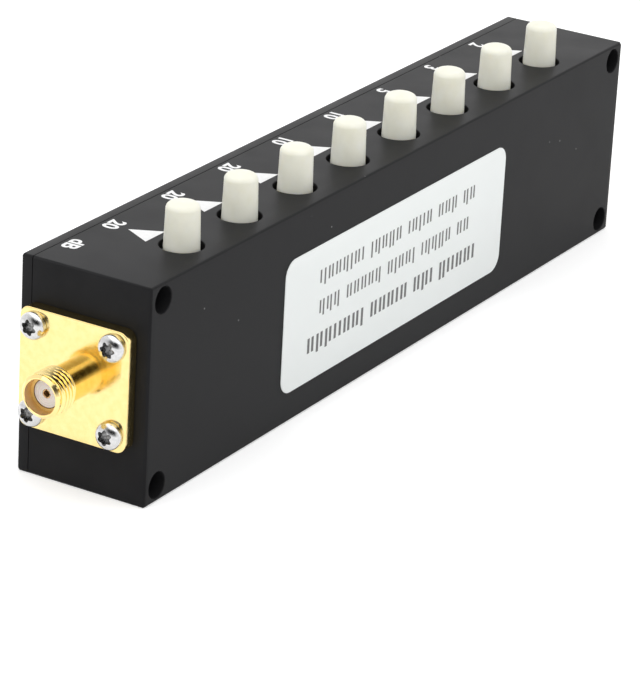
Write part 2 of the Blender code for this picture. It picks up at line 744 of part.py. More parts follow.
def main():
    clear_scene()
    finishes = build_finishes()
    add_housing(finishes["anodised"])
    add_side_cover(finishes["anodised"])
    cover_screw = flat_head_screw()
    for number, (x, z) in enumerate(cover_screw_places(), 1):
        place = (x, COVER_FACE_Y, z)
        add_object(f"cover_screw_{number}", cover_screw, finishes["black_steel"], place)
    add_circuit_board(finishes["board"])
    board_screw = cheese_head_screw()
    for number, (x, z) in enumerate(board_screw_places(), 1):
        place = (x, BOARD_BACK_Y, z)
        add_object(f"board_screw_{number}", board_screw, finishes["steel"], place)
    add_buttons(finishes)
    for name, end, out in jack_places():
        add_jack(name, end, out, finishes)
    add_label(finishes["label"])


main()
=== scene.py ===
"""The looks of a push-button step attenuator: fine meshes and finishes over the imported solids.

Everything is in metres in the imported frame: X along the case from the input jack to the output
jack, -Y out of the label face, +Z out of the button face."""

import math
import random

import bmesh
import bpy
from mathutils import Matrix, Vector


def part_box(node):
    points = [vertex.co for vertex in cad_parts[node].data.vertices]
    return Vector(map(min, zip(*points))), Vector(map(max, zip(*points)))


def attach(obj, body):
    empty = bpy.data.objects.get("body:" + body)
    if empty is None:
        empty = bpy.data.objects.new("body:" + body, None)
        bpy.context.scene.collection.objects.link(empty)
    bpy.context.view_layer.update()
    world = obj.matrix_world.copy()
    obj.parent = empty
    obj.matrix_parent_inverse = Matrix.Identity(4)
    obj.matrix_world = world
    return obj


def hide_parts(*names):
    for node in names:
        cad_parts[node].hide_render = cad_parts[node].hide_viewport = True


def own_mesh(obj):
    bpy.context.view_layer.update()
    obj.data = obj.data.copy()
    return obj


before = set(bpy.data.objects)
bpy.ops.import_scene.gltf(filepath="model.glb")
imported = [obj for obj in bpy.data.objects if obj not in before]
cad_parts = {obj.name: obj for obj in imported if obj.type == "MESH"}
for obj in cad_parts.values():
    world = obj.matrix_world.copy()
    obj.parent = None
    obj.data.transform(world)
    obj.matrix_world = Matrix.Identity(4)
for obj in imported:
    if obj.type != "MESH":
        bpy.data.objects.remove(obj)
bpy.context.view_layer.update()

MM = 0.001
STEP_COUNT = 8
CORNERS = 4

# Camera, fitted to the corners of the case
CAMERA_PLACE = Vector((-454.24, -260.51, 216.02)) * MM
CAMERA_AZIMUTH = math.radians(-59.88)
CAMERA_ELEVATION = math.radians(22.41)
CAMERA_ROLL = math.radians(3.13)
SENSOR_WIDTH = 36.0
LENS = 211.75

# Case details
HOLE_EDGE = 0.15 * MM
CORNER_HOLE_INSET_X = 3.0 * MM
CORNER_HOLE_INSET_Z = 2.5 * MM
CORNER_HOLE_RADIUS = 1.9 * MM
BUTTON_HOLE_GAP = 0.55 * MM
BUTTON_HOLE_DEPTH = 5.5 * MM
SPECK_SCALE = 330
SPECK_REACH = 0.042
SPECK_RARITY = 0.75

# Cutters reach past what they cut
OVERCUT = 1 * MM
CUTTER_RISE = 0.5 * MM
CUT_SLACK = 0.004 * MM

# Button caps
CAP_EDGE_RADIUS = 0.9 * MM
CAP_CROWN = 0.35 * MM
CAP_DRAFT = 0.2 * MM
CAP_FOOT_EDGE = 0.12 * MM
CAP_CROWN_START = 78
CAP_SOCKET_RADIUS = 1.4 * MM
CAP_SOCKET_DEPTH = 4.5 * MM

# Jacks
FLANGE_THICKNESS = 2.0 * MM
FLANGE_CORNER = 1.5 * MM
FLANGE_EDGE = 0.14 * MM
FLANGE_SCREW_INSET = 2.4 * MM
FLANGE_HOLE_RADIUS = 1.2 * MM
THREAD_PITCH = 25.4 / 36 * MM
THREAD_CREST_RADIUS = 3.175 * MM
THREAD_ROOT_RADIUS = 2.75 * MM
THREAD_ROOT_SHARE = 0.09
THREAD_FLANK_SHARE = 0.34
THREAD_TURN = 0.02
THREAD_END = 4.4 * MM
THREAD_START = 1.3 * MM
THREAD_FADE = 0.25 * MM
COLLAR_RADIUS = 3.08 * MM
COLLAR_TOP = 0.33 * MM
COLLAR_END = 0.58 * MM
COLLAR_SLOPE = 1.3
NECK_RADIUS = 2.7 * MM
BARREL_OVERLAP = 0.5 * MM
RIM_RADIUS = 2.8 * MM
RIM_EDGE = 0.06 * MM
MOUTH_RADIUS = 2.5 * MM
MOUTH_EDGE = 0.06 * MM
MOUTH_DEPTH = 1.6 * MM
BORE_RADIUS = 2.08 * MM
INSULATOR_RADIUS = 1.98 * MM
INSULATOR_RINGS = (0.95 * MM, 1.3 * MM, 1.62 * MM)
INSULATOR_GROOVE = 0.035 * MM
CONTACT_RADIUS = 0.635 * MM
CONTACT_GAP = 0.03 * MM
CONTACT_HOLE_RADIUS = 0.46 * MM
CONTACT_HOLE_DEPTH = 2.5 * MM
CONTACT_HOLE_TIP = 0.3 * MM
CONTACT_LENGTH = 6.0 * MM
CONTACT_SLOT = 0.13 * MM
CONTACT_SLOT_DEPTH = 1.8 * MM
TURNED_EDGE = 0.06 * MM
TAIL_RADIUS = 0.45 * MM

# Screws
SCREW_RADIUS = 1.0 * MM
PAN_RADIUS = 2.0 * MM
PAN_HEIGHT = 1.6 * MM
PAN_SIDE = 0.5 * MM
LOBE_TIP_RADIUS = 1.17 * MM
LOBE_VALLEY_RADIUS = 0.84 * MM
LOBE_DEPTH = 0.95 * MM
LOBE_CONE = 0.2 * MM
LOBE_ROUNDNESS = 0.8
HEAD_SEAT = 0.05 * MM
HEAD_EDGE = 0.08 * MM
RECESS_REACH = 0.9
RECESS_DEPTH = 0.97
COVER_SCREWS = 6
SCREW_SEED = 7
FLAT_RADIUS = 1.8 * MM
FLAT_HEIGHT = 0.9 * MM
FLAT_LOBE_SCALE = 0.75

# Springs
SPRING_WIRE_RADIUS = 0.15 * MM
SPRING_TURNS = 4
SPRING_SIDES = 8
SPRING_STEPS_PER_TURN = 28

# Label and its generic print
LABEL_CORNER = 2.5 * MM
LABEL_EDGE = 0.03 * MM
INK = 0.015 * MM
LABEL_LINES = (
    (-4.6 * MM, -25.2 * MM, 25.0 * MM, 0.6 * MM, 2.3 * MM),
    (0.6 * MM, -22.3 * MM, 21.3 * MM, 0.4 * MM, 2.0 * MM),
    (5.3 * MM, -22.5 * MM, 22.6 * MM, 0.4 * MM, 2.0 * MM),
)
BAR_RISE = 0.5 * MM
BAR_GAP = 0.5 * MM
PAIR_GAP = 0.75 * MM
WORD_GAP = 2.2 * MM
WORD_LETTERS = (3, 5, 6, 8)
LETTER_BARS = (1, 2, 2, 2)
TALL_SHARE = 0.2
LABEL_SEED = 11

# Print on the button face: triangles, numbers and a unit
TRIANGLE_BASE_Y = -0.2 * MM
TRIANGLE_TIP_Y = 4.25 * MM
TRIANGLE_HALF_WIDTH = 2.4 * MM
TRIANGLE_SHIFT_X = 0.25 * MM
NUMBER_SHIFT_X = 0.55 * MM
NUMBER_Y = 6.95 * MM
NUMBER_HEIGHT = 2.32 * MM
CAPITAL_SHARE = 0.7
STROKE_GROWTH = 0.045
UNIT_SHIFT_X = -9.0 * MM
UNIT_Y = 6.95 * MM
STEP_VALUES = (20, 20, 20, 10, 10, 5, 3, 2)

# Fineness of the meshes
ROUND_STEPS = 96
CAP_STEPS = 72
CAP_EDGE_STEPS = 8
CAP_CROWN_STEPS = 6
CORNER_STEPS = 12
DOME_STEPS = 12
SCREW_STEPS = 48
LOBE_STEPS = 72
THREAD_ROWS = 110
POINT_MERGE = 1e-7
NODE_MERGE = 0.002 * MM
NODE_FLATNESS = math.radians(0.5)

# Edges sharper than these stay hard
SMOOTH_ANGLE = math.radians(32)
CASE_SMOOTH_ANGLE = math.radians(60)
SCREW_SMOOTH_ANGLE = math.radians(28)
JACK_SMOOTH_ANGLE = math.radians(36)

# Two tints of each gold, the deeper one first
GOLD = ((0.98, 0.75, 0.31), (1.0, 0.81, 0.38))
# The neck's deeper gold is a painted dark reflection, and the bore's brown gold is painted shade
NECK_REFLECTION_GOLD = ((0.93, 0.67, 0.23), (0.97, 0.74, 0.29))
BORE_SHADE_GOLD = ((0.72, 0.49, 0.24), (0.78, 0.56, 0.29))

# Finishes of a jack's body, the flange's first; the bore's brown gold is painted shade and the
# neck's deeper gold a painted dark reflection
JACK_FINISHES = ("gold", "bright_gold", "shaded_bore_gold", "dark_reflection_neck_gold", "satin_gold")

# The dark side of the room round the camera, which bright metal reflects
DARK_AZIMUTH = math.radians(-75)
DARK_HALF_WIDTH = 0.72
DARK_HEIGHT = 0.36
DARK_HALF_HEIGHT = 0.4
DARK_LEVEL = 0.02
DARK_FADE = (0.45, 1.3)
DARK_BACK_FADE = (0.1, 0.3)
BACKDROP_LEVEL = 1.4
BACKDROP_FADE = (0.4, 0.9)
WORLD_LIGHT = 0.7
FLOOR_SIZE = 8.0
FLOOR_GLOW = 0.42
FLOOR_GLOW_REFLECTED = 0.34

# Lamps: name, place, target, size, power, and whether bright metal mirrors them
LAMPS = (
    ("overhead", (-0.1, -0.1, 0.8), (0, 0, 0.02), 1.4, 4.6, True),
    ("left_fill", (-0.6, 0.25, 0.35), (-0.05, 0, 0.02), 0.6, 1.0, False),
    ("right_fill", (0.35, -0.6, 0.3), (0, 0, 0.02), 0.6, 0.4, True),
)


# Shader helpers

def new_material(name, colour, roughness, metallic=0.0):
    """A Principled material with its numbers on the shader's own sockets."""
    made = bpy.data.materials.new(name)
    made.use_nodes = True
    shader = made.node_tree.nodes["Principled BSDF"]
    shader.inputs["Base Color"].default_value = (*colour, 1.0)
    shader.inputs["Roughness"].default_value = roughness
    shader.inputs["Metallic"].default_value = metallic
    return made


def add_noise(made, scale, detail=3.0, stretch=(1, 1, 1)):
    """A noise's factor output in the piece's own coordinates; scale is per metre."""
    nodes, links = made.node_tree.nodes, made.node_tree.links
    coordinates = nodes.new("ShaderNodeTexCoord")
    mapping = nodes.new("ShaderNodeMapping")
    mapping.inputs["Scale"].default_value = stretch
    noise = nodes.new("ShaderNodeTexNoise")
    noise.inputs["Scale"].default_value = scale
    noise.inputs["Detail"].default_value = detail
    links.new(coordinates.outputs["Object"], mapping.inputs["Vector"])
    links.new(mapping.outputs["Vector"], noise.inputs["Vector"])
    return noise.outputs["Fac"]


def ramp(made, factor, stops):
    """A colour ramp over a factor, from (position, colour) pairs."""
    nodes, links = made.node_tree.nodes, made.node_tree.links
    made_ramp = nodes.new("ShaderNodeValToRGB")
    elements = made_ramp.color_ramp.elements
    while len(elements) < len(stops):
        elements.new(0.5)
    for element, (position, colour) in zip(elements, stops):
        element.position = position
        element.color = (*colour, 1.0)
    links.new(factor, made_ramp.inputs["Fac"])
    return made_ramp.outputs["Color"]


def vary_roughness(made, factor, low, high):
    """Lets a factor move the roughness between two values."""
    nodes, links = made.node_tree.nodes, made.node_tree.links
    spread = nodes.new("ShaderNodeMapRange")
    spread.inputs["From Min"].default_value = 0.3
    spread.inputs["From Max"].default_value = 0.7
    spread.inputs["To Min"].default_value = low
    spread.inputs["To Max"].default_value = high
    links.new(factor, spread.inputs["Value"])
    links.new(spread.outputs["Result"], nodes["Principled BSDF"].inputs["Roughness"])


def add_bump(made, factor, depth):
    """Lets a factor raise the surface by up to a depth."""
    nodes, links = made.node_tree.nodes, made.node_tree.links
    bump = nodes.new("ShaderNodeBump")
    bump.inputs["Distance"].default_value = depth
    bump.inputs["Strength"].default_value = 1.0
    links.new(factor, bump.inputs["Height"])
    links.new(bump.outputs["Normal"], nodes["Principled BSDF"].inputs["Normal"])


def base_colour(made, colour_output):
    """Takes the base colour from a node's output."""
    shader = made.node_tree.nodes["Principled BSDF"]
    made.node_tree.links.new(colour_output, shader.inputs["Base Color"])


def grey(value):
    return (value, value, value)


# Materials

def anodised_black():
    """Black anodised aluminium: blasted grain, faint mottling and a few pale specks of dust."""
    made = new_material("anodised_black", grey(0.015), 0.4)
    nodes, links = made.node_tree.nodes, made.node_tree.links
    nodes["Principled BSDF"].inputs["Specular IOR Level"].default_value = 0.07
    mottle = add_noise(made, 160, 4)
    grain = add_noise(made, 7000, 3)
    vary_roughness(made, mottle, 0.36, 0.44)
    add_bump(made, grain, 0.006 * MM)
    body = ramp(made, mottle, ((0.3, (0.0125, 0.0125, 0.0135)), (0.7, (0.0165, 0.0165, 0.0175))))
    blend = nodes.new("ShaderNodeMix")
    blend.data_type = "RGBA"
    blend.inputs["B"].default_value = (0.2, 0.2, 0.2, 1.0)
    links.new(dust_specks(made), blend.inputs["Factor"])
    links.new(body, blend.inputs["A"])
    base_colour(made, blend.outputs["Result"])
    return made


def dust_specks(made):
    """One at the middle of a few random cells and nought elsewhere."""
    nodes, links = made.node_tree.nodes, made.node_tree.links
    coordinates = nodes.new("ShaderNodeTexCoord")
    cells = nodes.new("ShaderNodeTexVoronoi")
    cells.inputs["Scale"].default_value = SPECK_SCALE
    links.new(coordinates.outputs["Object"], cells.inputs["Vector"])
    near = nodes.new("ShaderNodeMath")
    near.operation = "LESS_THAN"
    near.inputs[1].default_value = SPECK_REACH
    links.new(cells.outputs["Distance"], near.inputs[0])
    chosen = nodes.new("ShaderNodeSeparateColor")
    links.new(cells.outputs["Color"], chosen.inputs["Color"])
    rare = nodes.new("ShaderNodeMath")
    rare.operation = "GREATER_THAN"
    rare.inputs[1].default_value = SPECK_RARITY
    links.new(chosen.outputs["Red"], rare.inputs[0])
    speck = nodes.new("ShaderNodeMath")
    speck.operation = "MULTIPLY"
    links.new(near.outputs[0], speck.inputs[0])
    links.new(rare.outputs[0], speck.inputs[1])
    return speck.outputs[0]


def gold_plate(name, roughness, grain, deep, pale):
    """Gold plating with a fine, slightly uneven grain, smoother where it was turned."""
    made = new_material(name, pale, roughness, 1.0)
    cloud = add_noise(made, 900, 3)
    base_colour(made, ramp(made, cloud, ((0.3, deep), (0.7, pale))))
    vary_roughness(made, cloud, roughness - 0.03, roughness + 0.03)
    add_bump(made, add_noise(made, 4500, 2), grain)
    return made


def bright_steel():
    """Bright zinc-plated steel with small tumbling marks."""
    made = new_material("bright_steel", (0.68, 0.68, 0.69), 0.18, 1.0)
    marks = add_noise(made, 2600, 4)
    base_colour(made, ramp(made, marks, ((0.3, (0.6, 0.6, 0.61)), (0.7, (0.75, 0.75, 0.75)))))
    vary_roughness(made, marks, 0.12, 0.24)
    add_bump(made, marks, 0.006 * MM)
    return made


def recess_steel():
    """The punched recess of a screw in duller and darker metal than the head round it: painted
    shade that stands in for the shade inside the recess.
    """
    made = new_material("recess_steel", grey(0.3), 0.3, 1.0)
    marks = add_noise(made, 3000, 4)
    base_colour(made, ramp(made, marks, ((0.35, grey(0.12)), (0.65, grey(0.42)))))
    vary_roughness(made, marks, 0.24, 0.4)
    return made


def black_steel():
    """Blackened steel of the cover's screws."""
    made = new_material("black_steel", grey(0.06), 0.35, 1.0)
    marks = add_noise(made, 2600, 4)
    base_colour(made, ramp(made, marks, ((0.3, grey(0.045)), (0.7, grey(0.08)))))
    vary_roughness(made, marks, 0.3, 0.42)
    return made


def cap_plastic():
    """Cream moulded plastic, slightly translucent, with a faint cloud and grain."""
    made = new_material("cap_plastic", (0.83, 0.82, 0.72), 0.38)
    shader = made.node_tree.nodes["Principled BSDF"]
    shader.inputs["Specular IOR Level"].default_value = 0.3
    shader.inputs["Subsurface Weight"].default_value = 0.6
    shader.inputs["Subsurface Radius"].default_value = (1.0, 0.95, 0.8)
    shader.inputs["Subsurface Scale"].default_value = 1.5 * MM
    cloud = add_noise(made, 420, 3)
    cream = ((0.3, (0.81, 0.8, 0.69)), (0.7, (0.85, 0.845, 0.75)))
    base_colour(made, ramp(made, cloud, cream))
    vary_roughness(made, cloud, 0.34, 0.44)
    add_bump(made, add_noise(made, 5200, 2), 0.003 * MM)
    return made


def insulator_plastic():
    """White fluoropolymer with a warm tint and a soft face."""
    made = new_material("insulator_plastic", (0.86, 0.8, 0.76), 0.42)
    shader = made.node_tree.nodes["Principled BSDF"]
    shader.inputs["Subsurface Weight"].default_value = 0.2
    shader.inputs["Subsurface Scale"].default_value = 0.6 * MM
    cloud = add_noise(made, 1500, 3)
    pale = ((0.3, (0.84, 0.77, 0.73)), (0.7, (0.88, 0.83, 0.79)))
    base_colour(made, ramp(made, cloud, pale))
    add_bump(made, cloud, 0.004 * MM)
    return made


def label_paper():
    """Coated white paper: a very soft unevenness and a fine fibre grain."""
    made = new_material("label_paper", (0.9, 0.93, 0.92), 0.5)
    cloud = add_noise(made, 90, 3)
    base_colour(made, ramp(made, cloud, ((0.3, (0.89, 0.92, 0.91)), (0.7, (0.91, 0.94, 0.93)))))
    vary_roughness(made, cloud, 0.46, 0.56)
    add_bump(made, add_noise(made, 3800, 4), 0.004 * MM)
    return made


def ink(name, dark, light):
    """Printing ink with a slightly uneven coat."""
    made = new_material(name, dark, 0.5)
    coat = add_noise(made, 2400, 3)
    base_colour(made, ramp(made, coat, ((0.35, dark), (0.65, light))))
    vary_roughness(made, coat, 0.45, 0.6)
    return made


def moulded(name, dark, light, roughness):
    """Plain moulded plastic for the pieces inside."""
    made = new_material(name, dark, roughness)
    cloud = add_noise(made, 700, 3)
    base_colour(made, ramp(made, cloud, ((0.35, dark), (0.65, light))))
    add_bump(made, add_noise(made, 4000, 2), 0.004 * MM)
    return made


def circuit_green():
    """Green solder mask with paler lines where copper tracks lie under it."""
    made = new_material("circuit_green", (0.02, 0.15, 0.06), 0.35)
    nodes, links = made.node_tree.nodes, made.node_tree.links
    coordinates = nodes.new("ShaderNodeTexCoord")
    tracks = nodes.new("ShaderNodeTexWave")
    tracks.bands_direction = "Z"
    tracks.inputs["Scale"].default_value = 60
    tracks.inputs["Distortion"].default_value = 0.0
    links.new(coordinates.outputs["Object"], tracks.inputs["Vector"])
    stops = ((0.78, (0.012, 0.11, 0.045)), (0.84, (0.03, 0.2, 0.08)))
    base_colour(made, ramp(made, tracks.outputs["Fac"], stops))
    return made


# Mesh helpers

def smooth(mesh, angle):
    """Shades a mesh smooth, apart from edges sharper than an angle."""
    mesh.shade_smooth()
    mesh.set_sharp_from_angle(angle=angle)


def finish_mesh(name, shape):
    """Turns a bmesh into a mesh with merged points, outward faces and smooth round sides."""
    bmesh.ops.remove_doubles(shape, verts=shape.verts, dist=POINT_MERGE)
    bmesh.ops.recalc_face_normals(shape, faces=shape.faces)
    mesh = bpy.data.meshes.new(name)
    shape.to_mesh(mesh)
    shape.free()
    smooth(mesh, SMOOTH_ANGLE)
    return mesh


def add_piece(name, mesh, body, material, replaces=(), place=(0, 0, 0), turn=None):
    """A visible piece that rides on a body and takes a material."""
    if place != (0, 0, 0) or turn:
        mesh.transform(Matrix.Translation(Vector(place)) @ (turn or Matrix.Identity(4)))
    piece = bpy.data.objects.new(name, mesh)
    bpy.context.scene.collection.objects.link(piece)
    mesh.materials.clear()
    mesh.materials.append(material)
    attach(piece, body)
    if replaces:
        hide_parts(*replaces)
    return piece


def boolean(mesh, cutter, operation="DIFFERENCE"):
    """The mesh with another one cut from it or joined on, as a new mesh."""
    base = bpy.data.objects.new("boolean_base", mesh)
    tool = bpy.data.objects.new("boolean_tool", cutter)
    for obj in (base, tool):
        bpy.context.scene.collection.objects.link(obj)
    modifier = base.modifiers.new("boolean", "BOOLEAN")
    modifier.operation = operation
    modifier.object = tool
    modifier.solver = "EXACT"
    graph = bpy.context.evaluated_depsgraph_get()
    made = bpy.data.meshes.new_from_object(base.evaluated_get(graph))
    for obj in (base, tool):
        bpy.data.objects.remove(obj)
    return made


def lathe_shape(profile, steps, closed=False):
    """A bmesh of (radius, along) points spun round the Z axis."""
    shape = bmesh.new()
    verts = [shape.verts.new((radius, 0, along)) for radius, along in profile]
    edges = [shape.edges.new(pair) for pair in zip(verts, verts[1:])]
    if closed:
        edges.append(shape.edges.new((verts[-1], verts[0])))
    bmesh.ops.spin(
        shape,
        geom=verts + edges,
        cent=(0, 0, 0),
        axis=(0, 0, 1),
        angle=2 * math.pi,
        steps=steps,
        use_merge=True,
    )
    return shape


def lathe(name, profile, steps=ROUND_STEPS, closed=False):
    """A turned mesh round the Z axis, from a profile of (radius, along) points."""
    return finish_mesh(name, lathe_shape(profile, steps, closed))


def arc(centre, radius, first, last, steps):
    """Points (radius, along) of an arc, with its angles in degrees."""
    angles = [math.radians(first + (last - first) * step / steps) for step in range(steps + 1)]
    return [
        (centre[0] + radius * math.cos(angle), centre[1] + radius * math.sin(angle))
        for angle in angles
    ]


def rounded_outline(width, height, radius):
    """The outline of a rectangle with round corners, centred on the origin."""
    points = []
    for corner, (side, level) in enumerate(((1, 1), (-1, 1), (-1, -1), (1, -1))):
        middle = (side * (width / 2 - radius), level * (height / 2 - radius))
        points += arc(middle, radius, 90 * corner, 90 * (corner + 1), CORNER_STEPS)
    return points


def plate_shape(outline, thickness, edge=0.0, edge_steps=3):
    """A bmesh plate from z = 0 up to its thickness, with the upper edge rounded off."""
    shape = bmesh.new()
    face = shape.faces.new([shape.verts.new((x, y, 0)) for x, y in outline])
    grown = bmesh.ops.extrude_face_region(shape, geom=[face])["geom"]
    top = [item for item in grown if isinstance(item, bmesh.types.BMVert)]
    bmesh.ops.translate(shape, verts=top, vec=(0, 0, thickness))
    if edge:
        raised = set(top)
        rim = [item for item in shape.edges if all(vert in raised for vert in item.verts)]
        bmesh.ops.bevel(
            shape, geom=rim, offset=edge, segments=edge_steps, profile=0.5, affect="EDGES"
        )
    return shape


def turn_to(direction):
    """The rotation that turns +Z to a direction along an axis of the frame."""
    return Vector((0, 0, 1)).rotation_difference(Vector(direction)).to_matrix().to_4x4()


def hole_cutter(radius, length, edge=HOLE_EDGE):
    """A cutter for a round hole that goes down from z = 0, with a chamfered mouth."""
    radius = radius + CUT_SLACK
    profile = [
        (0, CUTTER_RISE),
        (radius + edge + CUTTER_RISE, CUTTER_RISE),
        (radius, -edge),
        (radius, -length),
        (0, -length),
    ]
    return lathe("hole_cutter", profile)


def placed(mesh, place, direction=(0, 0, 1)):
    """The mesh moved to a place, with its +Z turned to a direction."""
    mesh.transform(Matrix.Translation(Vector(place)) @ turn_to(direction))
    return mesh


def joined(meshes):
    """One mesh that holds several separate ones."""
    shape = bmesh.new()
    for mesh in meshes:
        shape.from_mesh(mesh)
    made = bpy.data.meshes.new("joined")
    shape.to_mesh(made)
    shape.free()
    return made


def node_mesh(name):
    """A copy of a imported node's mesh with its split points merged again."""
    shape = bmesh.new()
    shape.from_mesh(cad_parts[name].data)
    bmesh.ops.remove_doubles(shape, verts=shape.verts, dist=NODE_MERGE)
    bmesh.ops.dissolve_limit(
        shape, angle_limit=NODE_FLATNESS, verts=shape.verts, edges=shape.edges
    )
    made = bpy.data.meshes.new(name)
    shape.to_mesh(made)
    shape.free()
    return made


def centre(name):
    """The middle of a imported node's box."""
    low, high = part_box(name)
    return (low + high) / 2


# Case

def corner_hole_places(low, high):
    """Places (x, z) of the four corner holes, from the box of what they go through."""
    xs = (low.x + CORNER_HOLE_INSET_X, high.x - CORNER_HOLE_INSET_X)
    zs = (low.z + CORNER_HOLE_INSET_Z, high.z - CORNER_HOLE_INSET_Z)
    return [(x, z) for x in xs for z in zs]


def cap_place(number):
    """Axis (x, y), foot z, top z and foot radius of a button cap."""
    low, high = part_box(f"button_cap_{number}")
    middle = (low + high) / 2
    return middle.x, middle.y, low.z, high.z, (high.x - low.x) / 2


def dress_case(material):
    """The milled case and its cover, with truly round holes and softened edges."""
    low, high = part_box("housing")
    through = high.y - low.y + OVERCUT
    cutters = [
        placed(hole_cutter(CORNER_HOLE_RADIUS, through), (x, low.y, z), (0, -1, 0))
        for x, z in corner_hole_places(low, high)
    ]
    for number in range(1, STEP_COUNT + 1):
        x, y, _, _, radius = cap_place(number)
        cutter = hole_cutter(radius + BUTTON_HOLE_GAP, BUTTON_HOLE_DEPTH)
        cutters.append(placed(cutter, (x, y, high.z)))
    case = smooth_case(boolean(node_mesh("housing"), joined(cutters)))
    add_piece("case_body", case, "case", material, ["housing"])

    cover_low, cover_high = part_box("side_cover")
    cutters = [
        placed(hole_cutter(CORNER_HOLE_RADIUS, through), (x, cover_high.y, z), (0, 1, 0))
        for x, z in corner_hole_places(cover_low, cover_high)
    ]
    cover = smooth_case(boolean(node_mesh("side_cover"), joined(cutters)))
    add_piece("case_cover", cover, "case", material, ["side_cover"])


def smooth_case(mesh):
    """Flat faces stay flat, the narrow chamfers between them shade as rounded edges."""
    smooth(mesh, CASE_SMOOTH_ANGLE)
    holder = bpy.data.objects.new("weighting", mesh)
    bpy.context.scene.collection.objects.link(holder)
    modifier = holder.modifiers.new("weighting", "WEIGHTED_NORMAL")
    modifier.mode = "FACE_AREA"
    modifier.weight = 100
    modifier.keep_sharp = True
    graph = bpy.context.evaluated_depsgraph_get()
    made = bpy.data.meshes.new_from_object(holder.evaluated_get(graph))
    bpy.data.objects.remove(holder)
    return made


# Buttons

def cap_mesh(height, foot_radius):
    """A slightly tapered cap with a rounded edge, a crowned top and a socket for its stem."""
    top_radius = foot_radius - CAP_DRAFT
    shoulder = (top_radius - CAP_EDGE_RADIUS, height - CAP_CROWN - CAP_EDGE_RADIUS)
    edge = arc(shoulder, CAP_EDGE_RADIUS, 0, CAP_CROWN_START, CAP_EDGE_STEPS)
    reach, rise = edge[-1][0], height - edge[-1][1]
    shares = [1 - step / CAP_CROWN_STEPS for step in range(1, CAP_CROWN_STEPS + 1)]
    crown = [(reach * share, height - rise * share**2) for share in shares]
    profile = [
        (0, CAP_SOCKET_DEPTH),
        (CAP_SOCKET_RADIUS, CAP_SOCKET_DEPTH),
        (CAP_SOCKET_RADIUS, 0),
        (foot_radius - CAP_FOOT_EDGE, 0),
        (foot_radius, CAP_FOOT_EDGE),
        *edge,
        *crown,
    ]
    return lathe("cap", profile, CAP_STEPS)


def dress_buttons(material):
    """The eight caps, each on its own button's body."""
    for number in range(1, STEP_COUNT + 1):
        x, y, foot, top, radius = cap_place(number)
        mesh = cap_mesh(top - foot, radius)
        name, node = f"cap_{number}", f"button_cap_{number}"
        body = f"button_{number}"
        add_piece(name, mesh, body, material, [node], (x, y, foot))


def spring_mesh(radius, length):
    """A round-wire compression spring that stands on z = 0, as a swept tube."""
    count = SPRING_TURNS * SPRING_STEPS_PER_TURN
    climb = length - 2 * SPRING_WIRE_RADIUS
    shape = bmesh.new()
    rings = []
    for index in range(count + 1):
        turn = 2 * math.pi * index / SPRING_STEPS_PER_TURN
        out = Vector((math.cos(turn), math.sin(turn), 0))
        middle = out * radius + Vector((0, 0, SPRING_WIRE_RADIUS + climb * index / count))
        ring = []
        for side in range(SPRING_SIDES):
            roll = 2 * math.pi * side / SPRING_SIDES
            offset = out * math.cos(roll) + Vector((0, 0, math.sin(roll)))
            ring.append(shape.verts.new(middle + offset * SPRING_WIRE_RADIUS))
        rings.append(ring)
    for first, second in zip(rings, rings[1:]):
        for side in range(SPRING_SIDES):
            after = (side + 1) % SPRING_SIDES
            shape.faces.new((first[side], first[after], second[after], second[side]))
    shape.faces.new(rings[0])
    shape.faces.new(rings[-1])
    return finish_mesh("spring", shape)


def dress_springs(material):
    """A round-wire spring under each button, riding on the case."""
    for number in range(1, STEP_COUNT + 1):
        low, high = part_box(f"return_spring_{number}")
        middle = centre(f"switch_{number}")
        radius = (high.x - low.x) / 2 - SPRING_WIRE_RADIUS
        place = (middle.x, cap_place(number)[1], low.z)
        mesh = spring_mesh(radius, high.z - low.z)
        name, node = f"spring_{number}", f"return_spring_{number}"
        spring = add_piece(name, mesh, "case", material, [node], place)
        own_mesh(spring)


# Screws

def lobe_cutter(scale=1.0):
    """A six-lobe recess that goes down from z = 0, with a shallow cone at its floor."""
    outline = []
    for step in range(LOBE_STEPS):
        turn = 2 * math.pi * step / LOBE_STEPS
        share = (0.5 + 0.5 * math.cos(6 * turn)) ** LOBE_ROUNDNESS
        radius = LOBE_VALLEY_RADIUS + (LOBE_TIP_RADIUS - LOBE_VALLEY_RADIUS) * share
        outline.append((scale * radius * math.cos(turn), scale * radius * math.sin(turn)))
    shape = bmesh.new()
    below = -scale * LOBE_DEPTH
    top = [shape.verts.new((x, y, CUTTER_RISE)) for x, y in outline]
    bottom = [shape.verts.new((x, y, below)) for x, y in outline]
    tip = shape.verts.new((0, 0, below - LOBE_CONE))
    shape.faces.new(top)
    for index in range(LOBE_STEPS):
        after = (index + 1) % LOBE_STEPS
        shape.faces.new((top[index], top[after], bottom[after], bottom[index]))
        shape.faces.new((bottom[index], bottom[after], tip))
    return finish_mesh("lobe_cutter", shape)


def pan_screw_mesh(length):
    """A domed pan head over z = 0 with its shank below."""
    dome_rise = PAN_HEIGHT - PAN_SIDE
    dome = [
        (PAN_RADIUS * math.cos(turn), PAN_SIDE + dome_rise * math.sin(turn))
        for turn in [math.radians(90) * step / DOME_STEPS for step in range(DOME_STEPS + 1)]
    ]
    dome[-1] = (0, PAN_HEIGHT)
    profile = [
        *reversed(dome),
        (PAN_RADIUS, HEAD_SEAT + HEAD_EDGE),
        (PAN_RADIUS - HEAD_EDGE, HEAD_SEAT),
        (SCREW_RADIUS, HEAD_SEAT),
        (SCREW_RADIUS, -length),
        (0, -length),
    ]
    head = lathe("pan_screw", profile, SCREW_STEPS)
    made = boolean(head, placed(lobe_cutter(), (0, 0, PAN_HEIGHT)))
    smooth(made, SCREW_SMOOTH_ANGLE)
    return made


